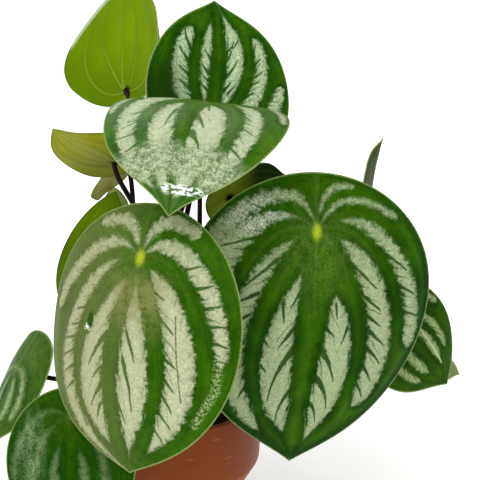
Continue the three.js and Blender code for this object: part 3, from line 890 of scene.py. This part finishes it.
def face_values(name, face):
    """The numbers of every map at each corner of a face."""
    leaf = LEAVES[name]
    look = STRIPES[name]
    middle = face.calc_center_median()
    turn, way, *sizes = vein_map(name, *polar(middle, middle))
    strips = [(strip, right) for right in (True, False) for strip in look["right" if right else "left"]]
    strip, right = max(strips, key=lambda pair: min(strip_depth(*pair, turn, way)))
    lobes = look["lobes"] * (LOBES_AT_RIB + LOBES_OUTWARDS * strip[0] ** 2)
    slant = LOBE_SLANT - abs(strip[0])
    ribs = rib_places(look, way)
    nearest = min(range(len(ribs)), key=lambda i: abs(ribs[i] - turn))
    reaches = {vein: vein_reach(vein, turn, way, *sizes) for vein in SIDE_VEINS.get(name, ())}
    side_vein = max(reaches, key=lambda vein: reaches[vein][1] - abs(reaches[vein][0]), default=None)
    for loop in face.loops:
        share, a = polar(loop.vert.co, middle)
        turn, way, round_size, way_size = vein_map(name, share, a)
        inside, outside = strip_depth(strip, right, turn, way)
        inner_lobe = lobes * (way - slant * inside) + strip[0] * INNER_SHIFT
        outer_lobe = lobes * (way - slant * outside) + strip[0] * OUTER_SHIFT
        yield loop, {
            "band": (inside * round_size, outside * round_size),
            "lobes": (inner_lobe, outer_lobe),
            "rib": ((turn - rib_places(look, way)[nearest]) * round_size, way),
            "margin": (to_margin(leaf, share, a), way_size / lobes),
            "vein": vein_reach(side_vein, turn, way, round_size, way_size) if side_vein else NO_VEIN,
            "flat": outline(leaf, a) * share,
        }


def groove(name, share, a):
    """How far the blade swells between its main veins, in millimetres."""
    leaf = LEAVES[name]
    look = STRIPES[name]
    turn, way, round_size, _ = vein_map(name, share, a)
    near = min(abs(rib - turn) for rib in rib_places(look, way)) * round_size
    rise = 1 - math.exp(-(near / VALLEY) ** 2)
    fade = min(1, to_margin(leaf, share, a) / FLAT_EDGE) * min(1, share / FLAT_HUB)
    return leaf.half * SWELL * rise * fade


sample = spun_disc(4, 8)
print("faces of a small disc:", len(sample.faces))
sample.free()

# %% [markdown]
# ## From disc to leaf
# Each blade is one sheet that a Solidify modifier turns into a fleshy blade, thinner towards the rim,
# with the underside and the rim in their own finishes. A small bevel rounds the rim. The sheet lies in
# the middle of the plain solid, so the thick blade covers it face for face.

# %% Make the blades
LARGE = ("front_left", "front_right", "middle_top", "upright")
LARGE_GRID = (44, 144)
SMALL_GRID = (26, 96)
RIM_THINNING = 0.55
THINNING_START = 0.8
RIM_BEVEL = 0.15


def finish_piece(piece, slot, *nodes):
    """Every piece of a plant is still: it rides on the one body and stands for its plain solid."""
    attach(piece, "root")
    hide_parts(*nodes)
    return piece


def to_object(name, mesh, materials, smooth=True):
    for face in mesh.faces:
        face.smooth = smooth
    data = bpy.data.meshes.new(name)
    mesh.to_mesh(data)
    mesh.free()
    for material in materials:
        data.materials.append(material)
    piece = bpy.data.objects.new(name, data)
    bpy.context.scene.collection.objects.link(piece)
    return piece


def as_shown(piece):
    """The piece as its modifiers or its curve make it."""
    return piece.evaluated_get(bpy.context.evaluated_depsgraph_get())


def make_blade(name):
    leaf = LEAVES[name]
    look = STRIPES[name]
    mesh = spun_disc(*(LARGE_GRID if name in LARGE else SMALL_GRID))
    maps = {key: mesh.loops.layers.uv.new(key) for key in MAPS}
    for face in mesh.faces:
        for loop, values in face_values(name, face):
            for key, value in values.items():
                loop[maps[key]].uv = value
    matrix = Matrix.Scale(MM, 4) @ blade_matrix(leaf)
    shares = []
    for vert in mesh.verts:
        share, a = polar(vert.co, vert.co)
        shares.append(share)
        vert.co = matrix @ blade_point(leaf, share, a, groove(name, share, a))
    materials = [top_finish(name, look), underside_finish(name, look), RIM]
    piece = to_object(f"blade_{name}", mesh, materials)
    fleshy = piece.vertex_groups.new(name="fleshy")
    for i, share in enumerate(shares):
        thinned = max(0, share - THINNING_START) / (1 - THINNING_START)
        fleshy.add([i], 1 - (1 - RIM_THINNING) * thinned, "REPLACE")
    solid = piece.modifiers.new("thickness", "SOLIDIFY")
    solid.thickness = THICKNESS * MM
    solid.offset = 0
    solid.vertex_group = "fleshy"
    solid.material_offset = 1
    solid.material_offset_rim = 2
    rounding = piece.modifiers.new("rim", "BEVEL")
    rounding.width = RIM_BEVEL * MM
    rounding.segments = 2
    rounding.limit_method = "ANGLE"
    rounding.angle_limit = 60 * DEGREE
    return finish_piece(piece, "leaf", f"leaf_{name}")


for name in LEAVES:
    make_blade(name)
print("blades:", len(LEAVES))

# %% [markdown]
# ## The stems
# A leaf stem is a smooth, round, dark red stalk that swells at its foot and again where it meets the
# blade. A curve object with a round bevel makes a stalk of even thickness from four points, so the curve
# is used and then turned into a mesh. Its path repeats the solid's: out of its socket in the stock, and up
# into the underside of the blade. The sockets are shared out in rows, and pushed apart round the
# stock until no two are too close.

# %% Stem paths
STOCK = dict(radius=10, centre=76, rise=14, neck=7.5, neck_z=68, foot=60)
STEM = dict(radius=1.2, socket_depth=3, head_arm=0.3)
SOCKET_ROWS = (dict(from_z=186, rise=70, apart=54, arm=0.5), dict(from_z=130, rise=45, apart=30, arm=0.45),
               dict(from_z=0, rise=22, apart=28, arm=0.4))
GAP = 0.3
SPREADING_PASSES = 200


def spread(bearings, apart):
    """Bearings, pushed apart in small steps until no two are closer than the least angle."""
    placed = list(bearings)
    for _ in range(SPREADING_PASSES):
        for i in range(len(placed)):
            after = (i + 1) % len(placed)
            angle = placed[after] - placed[i] + (0 if after else 2 * math.pi)
            push = max(0, apart - angle) / 2
            placed[i] -= push
            placed[after] += push
    return placed


def stock_point(bearing, rise):
    """The way out of the stock's dome at this bearing and rise, and the place on its skin."""
    across = math.cos(rise * DEGREE)
    up = math.sin(rise * DEGREE)
    out = round_point(across, bearing, up)
    reach = 1 / math.hypot(across / STOCK["radius"], up / STOCK["rise"])
    return out, out * reach + UP * STOCK["centre"]


def foot_bearing(leaf):
    return math.atan2(leaf.at[1], leaf.at[0]) if leaf.foot is None else leaf.foot * DEGREE


def share_sockets():
    sockets = {}
    ceiling = math.inf
    for row in SOCKET_ROWS:
        bearings = {name: foot_bearing(leaf) for name, leaf in LEAVES.items()
                    if row["from_z"] <= leaf.at[2] < ceiling}
        names = sorted(bearings, key=bearings.get)
        placed = spread([bearings[name] for name in names], row["apart"] * DEGREE)
        for name, bearing in zip(names, placed):
            sockets[name] = (*stock_point(bearing, row["rise"]), row["arm"])
        ceiling = row["from_z"]
    return sockets


SOCKETS = share_sockets()
print("sockets:", len(SOCKETS))

# %% [markdown]
# ## The skin of a stem
# The stems are so dark a red that they look black in the shade, and darkest near the blades.

# %% Stem finish
def stem_finish():
    finish = Finish("stem_skin", Specular_IOR_Level=0.12)
    place = finish.object_place()
    blotches = finish.noise(place, 60.0, 3.0)
    streaks = finish.noise(place, 700.0, 2.0)
    _, _, height = finish.parts(place)
    colour = finish.blend(blotches.ramp(0.35, 0.7), "#100404", "#2c0e09")
    colour = finish.blend(height.ramp(0.1, 0.24) * 0.35, colour, "#0c0505")
    return finish.lay(
        Base_Color=finish.lighten(colour, 0.8 + streaks * 0.4),
        Roughness=0.34 + streaks * 0.2,
        Normal=finish.relief(blotches * 0.5 + streaks * 0.5, 0.12),
    )


STEM_SKIN = stem_finish()
print("stem finish:", STEM_SKIN.name)

# %% [markdown]
# ## From path to stem
# Each stem starts a little below the stock's skin, in its socket, and ends just under the blade. Its
# two handles point straight out of the stock and straight down from the blade.

# %% Make the stems
def make_stem(name):
    leaf = LEAVES[name]
    out, surface, arm = SOCKETS[name]
    up = blade_matrix(leaf).to_3x3().col[2]
    foot = surface + out * (GAP - STEM["socket_depth"])
    head = Vector(leaf.at) - up * (THICKNESS / 2 + GAP)
    span = (foot - head).length
    low, high = leaf.stem or (arm, STEM["head_arm"])
    curve = bpy.data.curves.new(f"stalk_{name}", "CURVE")
    curve.dimensions = "3D"
    curve.bevel_depth = STEM["radius"] * MM
    curve.bevel_resolution = 5
    curve.use_fill_caps = True
    curve.resolution_u = 40
    spline = curve.splines.new("BEZIER")
    spline.bezier_points.add(1)
    start, end = spline.bezier_points
    start.co, start.handle_right = foot * MM, (foot + out * low * span) * MM
    end.co, end.handle_left = head * MM, (head - up * high * span) * MM
    start.handle_left = start.co * 2 - start.handle_right
    end.handle_right = end.co * 2 - end.handle_left
    path = bpy.data.objects.new(f"stalk_{name}", curve)
    bpy.context.scene.collection.objects.link(path)
    bpy.context.view_layer.update()
    data = bpy.data.meshes.new_from_object(as_shown(path))
    bpy.data.objects.remove(path)
    bpy.data.curves.remove(curve)
    mesh = bmesh.new()
    mesh.from_mesh(data)
    bpy.data.meshes.remove(data)
    stalk = to_object(f"stalk_{name}", mended(mesh, SEAM), [STEM_SKIN])
    return finish_piece(stalk, "stem", f"stem_{name}")


for name in LEAVES:
    make_stem(name)
print("stems:", len(LEAVES))

# %% [markdown]
# ## The stock
# The stock is the short, knobbly base of the plant, ringed with the scars of old leaves. It is turned
# from a profile like a bead, and each point is then pushed in or out by a little noise.

# %% Turning helper and stock
def turned(profile, sides):
    """A profile of (radius, height) in millimetres, spun right round, in metres."""
    return mended(spun([(radius * MM, 0, z * MM) for radius, z in profile], sides), SEAM)


def stock_finish():
    finish = Finish("stock_bark", Specular_IOR_Level=0.3)
    place = finish.object_place((1, 1, 3))
    rings = finish.noise(place, 160.0, 3.0)
    grain = finish.noise(place, 900.0, 3.0)
    colour = finish.blend(rings.ramp(0.35, 0.65), "#3a2016", "#6b4a33")
    return finish.lay(
        Base_Color=finish.lighten(colour, 0.7 + grain * 0.5),
        Roughness=0.7 + grain * 0.2,
        Normal=finish.relief(rings * 0.6 + grain * 0.4, 0.6),
    )


DOME_STEPS = 24
STOCK_SIDES = 64
KNOB_SCALE = 260
RING_SCALE = 2600
KNOB_HEIGHT = 0.8


def make_stock():
    profile = [(0, STOCK["foot"]), (STOCK["neck"], STOCK["foot"]), (STOCK["neck"], STOCK["neck_z"])]
    for i in range(DOME_STEPS + 1):
        angle = i / DOME_STEPS * math.pi / 2
        profile.append((STOCK["radius"] * math.cos(angle), STOCK["centre"] + STOCK["rise"] * math.sin(angle)))
    mesh = turned(profile, STOCK_SIDES)
    for vert in mesh.verts:
        bump = noise.noise(vert.co * KNOB_SCALE) * 0.5 + 0.25 * math.sin(vert.co.z * RING_SCALE)
        out = Vector((vert.co.x, vert.co.y, 0)).normalized()
        vert.co += out * bump * MM * KNOB_HEIGHT
    return finish_piece(to_object("knobbly_stock", mesh, [stock_finish()]), "stock", "stock")


make_stock()
print("stock made")

# %% [markdown]
# ## The pot
# The pot is a thin moulded plastic nursery pot: a deep collar, a slanted shoulder and a narrower body.
# Its profile is the solid's with the corners rounded.

# %% Pot sizes
# Height and outer radius of the foot, the shoulder, the collar's lower edge and the rim
POT_SIDE = [(0, 31), (39, 35.8), (50, 42.3), (82, 44)]
POT_WALL = 2.2
POT_FLOOR = 3
DRAINS = dict(count=4, radius=4, ring=17)
ROUNDING = 0.9
SIDE_TO_REACH = 2.2
ARC_STEPS = 4


def rounded(profile, radius):
    """The profile with each inner corner replaced by a small curve that leaves out the corner."""
    points = [Vector(p) for p in profile]
    smooth = [points[0]]
    for before, corner, after in zip(points, points[1:], points[2:]):
        shorter = min((before - corner).length, (after - corner).length)
        reach = min(radius, shorter / SIDE_TO_REACH)
        start = corner + (before - corner).normalized() * reach
        end = corner + (after - corner).normalized() * reach
        for i in range(ARC_STEPS + 1):
            share = i / ARC_STEPS
            smooth.append(start.lerp(corner, share).lerp(corner.lerp(end, share), share))
    return smooth + [points[-1]]


def between(stops, place):
    """The value at a place on the bent line through some (place, value) stops."""
    for (near, low), (far, high) in zip(stops, stops[1:]):
        if place <= far:
            return low + (place - near) / (far - near) * (high - low)
    return stops[-1][1]


def inner_radius(z):
    return between(POT_SIDE, z) - POT_WALL


pot_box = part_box("pot")
print("pot height and rim radius, mm:", round(pot_box[1].z / MM, 1), round(pot_box[1].x / MM, 1))

# %% [markdown]
# ## The pot's plastic
# The plastic is a warm brown, scuffed, dusty and faintly streaked round the collar. Pale dashes on it are
# painted highlights where the scuffs catch the light.

# %% Pot finish
WARM_GLOSS = (1.0, 0.6, 0.35, 1.0)


def pot_finish():
    finish = Finish("pot_plastic", Specular_IOR_Level=0.3, Specular_Tint=WARM_GLOSS)
    place = finish.object_place()
    clouds = finish.noise(place, 22.0, 3.0)
    streaks = finish.noise(finish.object_place((1, 1, 7)), 55.0, 4.0, 0.6)
    scuff_highlights = finish.noise(finish.object_place((1, 1, 5)), 120.0, 1.0)
    grain = finish.noise(place, 1600.0, 2.0)
    colour = finish.blend(clouds.ramp(0.35, 0.65), "#78350d", "#7d3f18")
    colour = finish.blend(streaks.ramp(0.55, 0.75) * 0.4, colour, "#6c2d0c")
    # Painted highlights: pale dashes where the scuffs catch the light.
    colour = finish.blend(scuff_highlights.ramp(0.68, 0.76) * 0.3, colour, "#b27a50")
    colour = finish.lighten(colour, 0.9 + grain * 0.2)
    dust = finish.noise(place, 70.0, 4.0, 0.7).ramp(0.6, 0.8)
    colour = finish.blend(dust * 0.2, colour, "#a08058")
    return finish.lay(
        Base_Color=colour,
        Roughness=0.42 + streaks * 0.16 + dust * 0.15,
        Normal=finish.relief(grain * 0.3 + streaks * 0.7, 0.15),
    )


PLASTIC = pot_finish()
print("pot finish:", PLASTIC.name)

# %% [markdown]
# ## Turning the pot
# The drain holes are cut by a Boolean modifier that is applied at once.

# %% Make the pot
POT_SIDES = 128
EDGE_CUT = 1.5


def make_pot():
    (_, foot), *side = POT_SIDE
    outer = [(foot - EDGE_CUT, 0), (foot, EDGE_CUT)] + [(radius, z) for z, radius in side]
    inner = [(radius - POT_WALL, z) for z, radius in reversed(side)] + [(inner_radius(POT_FLOOR), POT_FLOOR)]
    profile = rounded([(0, 0)] + outer + inner + [(0, POT_FLOOR)], ROUNDING)
    pot = to_object("brown_pot", turned(profile, POT_SIDES), [PLASTIC])
    drains = bmesh.new()
    radius = DRAINS["radius"] * MM
    for i in range(DRAINS["count"]):
        place = round_point(DRAINS["ring"], (i + 0.5) / DRAINS["count"] * 2 * math.pi) * MM
        bmesh.ops.create_cone(drains, cap_ends=True, segments=32, radius1=radius, radius2=radius,
                              depth=4 * POT_FLOOR * MM, matrix=Matrix.Translation(place))
    cutter = to_object("drain_cutter", drains, [])
    cut = pot.modifiers.new("drains", "BOOLEAN")
    cut.object = cutter
    cut.solver = "EXACT"
    bpy.context.view_layer.update()
    whole = pot.data
    pot.data = bpy.data.meshes.new_from_object(as_shown(pot))
    pot.modifiers.clear()
    bpy.data.meshes.remove(whole)
    bpy.data.objects.remove(cutter)
    return finish_piece(pot, "pot", "pot")


make_pot()
print("pot made")

# %% [markdown]
# ## The soil
# Potting soil is peat crumbs and bits of bark. The surface is a disc of fine rings pushed up and down
# by noise, and some hundred crumbs, each a small squashed ball, lie on it. They stay under the rim.

# %% Make the soil
SOIL = dict(edge=70, bank=71.6, bank_radius=26, mouth_radius=12, mouth=67)
SOIL_RINGS = 60
HOLE_RINGS = 10
SOIL_SIDES = 144
ROUGHNESS = 0.8
LUMP_SCALE = 300
GRIT_SCALE = 900
CRUMB = dict(count=520, seed=7, spread=(0.1, 0.92), radius=(0.5, 1.6), lift=0.3,
             width=(0.5, 1), height=(0.4, 0.8), turn=(0, 3))


def soil_finish():
    finish = Finish("potting_soil", Specular_IOR_Level=0.25)
    place = finish.object_place()
    lumps = finish.noise(place, 250.0, 4.0, 0.65)
    grain = finish.noise(place, 1400.0, 3.0, 0.7)
    colour = finish.blend(lumps.ramp(0.4, 0.65), "#150d08", "#3a271a")
    colour = finish.blend(grain.ramp(0.64, 0.75) * 0.5, colour, "#6b5440")
    return finish.lay(
        Base_Color=colour,
        Roughness=0.85 + grain * 0.12,
        Normal=finish.relief(lumps * 0.6 + grain * 0.4, 0.8),
    )


def soil_height(radius):
    """The height of the soil's surface: a low bank that dips towards the stock."""
    stops = [(STOCK["neck"], SOIL["mouth"]), (SOIL["mouth_radius"], SOIL["edge"]),
             (SOIL["bank_radius"], SOIL["bank"]), (inner_radius(SOIL["edge"]), SOIL["edge"])]
    return between(stops, max(radius, STOCK["neck"]))


def make_soil():
    edge_radius = inner_radius(SOIL["edge"]) - GAP
    below = [(0, POT_FLOOR + GAP), (inner_radius(POT_FLOOR) - GAP, POT_FLOOR + GAP)]
    below += [(inner_radius(z) - GAP, z) for z, _ in POT_SIDE[1:-1]]
    radii = [edge_radius * (1 - i / SOIL_RINGS) for i in range(SOIL_RINGS - HOLE_RINGS)]
    top = [(radius, soil_height(radius)) for radius in radii]
    centre = [(STOCK["neck"], STOCK["foot"] - GAP), (0, STOCK["foot"] - GAP)]
    mesh = turned(below + top + centre, SOIL_SIDES)
    for vert in mesh.verts:
        if vert.co.z > (SOIL["mouth"] - 1) * MM:
            rough = noise.noise(vert.co * LUMP_SCALE) + 0.5 * noise.noise(vert.co * GRIT_SCALE)
            vert.co.z += rough * ROUGHNESS * MM
    draw = random.Random(CRUMB["seed"])
    for _ in range(CRUMB["count"]):
        radius = math.sqrt(draw.uniform(*CRUMB["spread"])) * edge_radius
        bearing = draw.uniform(0, 2 * math.pi)
        size = draw.uniform(*CRUMB["radius"])
        place = round_point(radius, bearing, soil_height(radius) + size * CRUMB["lift"])
        squash = Matrix.Diagonal((1, draw.uniform(*CRUMB["width"]), draw.uniform(*CRUMB["height"]), 1))
        turn = Matrix.Rotation(draw.uniform(*CRUMB["turn"]), 4, Vector((draw.random(), draw.random(), 1)))
        bmesh.ops.create_icosphere(mesh, subdivisions=1, radius=size * MM,
                                   matrix=Matrix.Translation(place * MM) @ turn @ squash)
    return finish_piece(to_object("crumbly_soil", mesh, [soil_finish()]), "soil", "soil")


make_soil()
print("soil made, crumbs:", CRUMB["count"])

# %% [markdown]
# ## The studio
# A plain pale floor, one large soft light from the upper left, a second from the right to open the
# shadows and a third from behind that catches the rims. The world adds an even pale light.

# %% Floor and lights
PLANT_MIDDLE = Vector((0.02, 0.0, 0.15))
FLOOR_HALF = 6
SUN = dict(aim=(0.45, 0.75, -1.0), power=1.9, softness=45)
WORLD_POWER = 0.5


def aimed(data, aim, place=(0, 0, 0)):
    """A lamp or a camera at this place that looks along aim."""
    made = bpy.data.objects.new(data.name, data)
    made.location = place
    made.rotation_euler = Vector(aim).to_track_quat("-Z", "Y").to_euler()
    bpy.context.scene.collection.objects.link(made)
    return made


def make_floor():
    mesh = bmesh.new()
    bmesh.ops.create_grid(mesh, x_segments=8, y_segments=8, size=FLOOR_HALF)
    finish = Finish("pale_floor", Specular_IOR_Level=0.0, Roughness=0.9, Emission_Strength=0.2)
    place = finish.object_place()
    clouds = finish.noise(place, 3.0, 2.0)
    colour = finish.blend(clouds, "#fbfbfa", "#ffffff")
    floor = to_object("floor", mesh, [finish.lay(Base_Color=colour, Emission_Color=colour)], smooth=False)
    floor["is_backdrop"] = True


def make_light(name, place, size, power):
    data = bpy.data.lights.new(name, "AREA")
    data.shape = "DISK"
    data.size = size
    data.energy = power
    aimed(data, PLANT_MIDDLE - Vector(place), place)


def make_sun():
    data = bpy.data.lights.new("key", "SUN")
    data.energy = SUN["power"]
    data.angle = SUN["softness"] * DEGREE
    aimed(data, SUN["aim"])


def make_world():
    world = bpy.data.worlds.new("studio")
    world.use_nodes = True
    background = world.node_tree.nodes["Background"].inputs
    background["Color"].default_value = (1, 1, 1, 1)
    background["Strength"].default_value = WORLD_POWER
    bpy.context.scene.world = world


make_floor()
make_light("fill", place=(1.1, -0.8, 0.7), size=1.0, power=3)
make_light("back", place=(-0.3, 1.1, 1.1), size=0.8, power=8)
make_sun()
make_world()
bpy.context.scene.view_settings.view_transform = "Standard"
print("floor and lights ready")

# %% [markdown]
# ## The camera
# The photograph looks a little down on the plant from the front, with a long lens. The distance and
# the lens come from matching the outlines of the leaves.

# %% Camera
CAMERA = dict(target=(33, 0, 158), elevation=18, distance=600, lens=97.8)


def make_camera():
    data = bpy.data.cameras.new("camera")
    data.lens = CAMERA["lens"]
    data.clip_start = 0.05
    data.clip_end = 50
    elevation = CAMERA["elevation"] * DEGREE
    back = Vector((0, -math.cos(elevation), math.sin(elevation)))
    camera = aimed(data, -back, (Vector(CAMERA["target"]) + back * CAMERA["distance"]) * MM)
    bpy.context.scene.camera = camera
    return camera


print("camera at:", [round(v, 3) for v in make_camera().location])

# %% [markdown]
# ## Sizes at the end
# The finer meshes may not grow out of the plain model's box, so both boxes are written down.

# %% Measure and finish
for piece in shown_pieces():
    mesh = as_shown(piece).to_mesh()
    mesh.calc_loop_triangles()
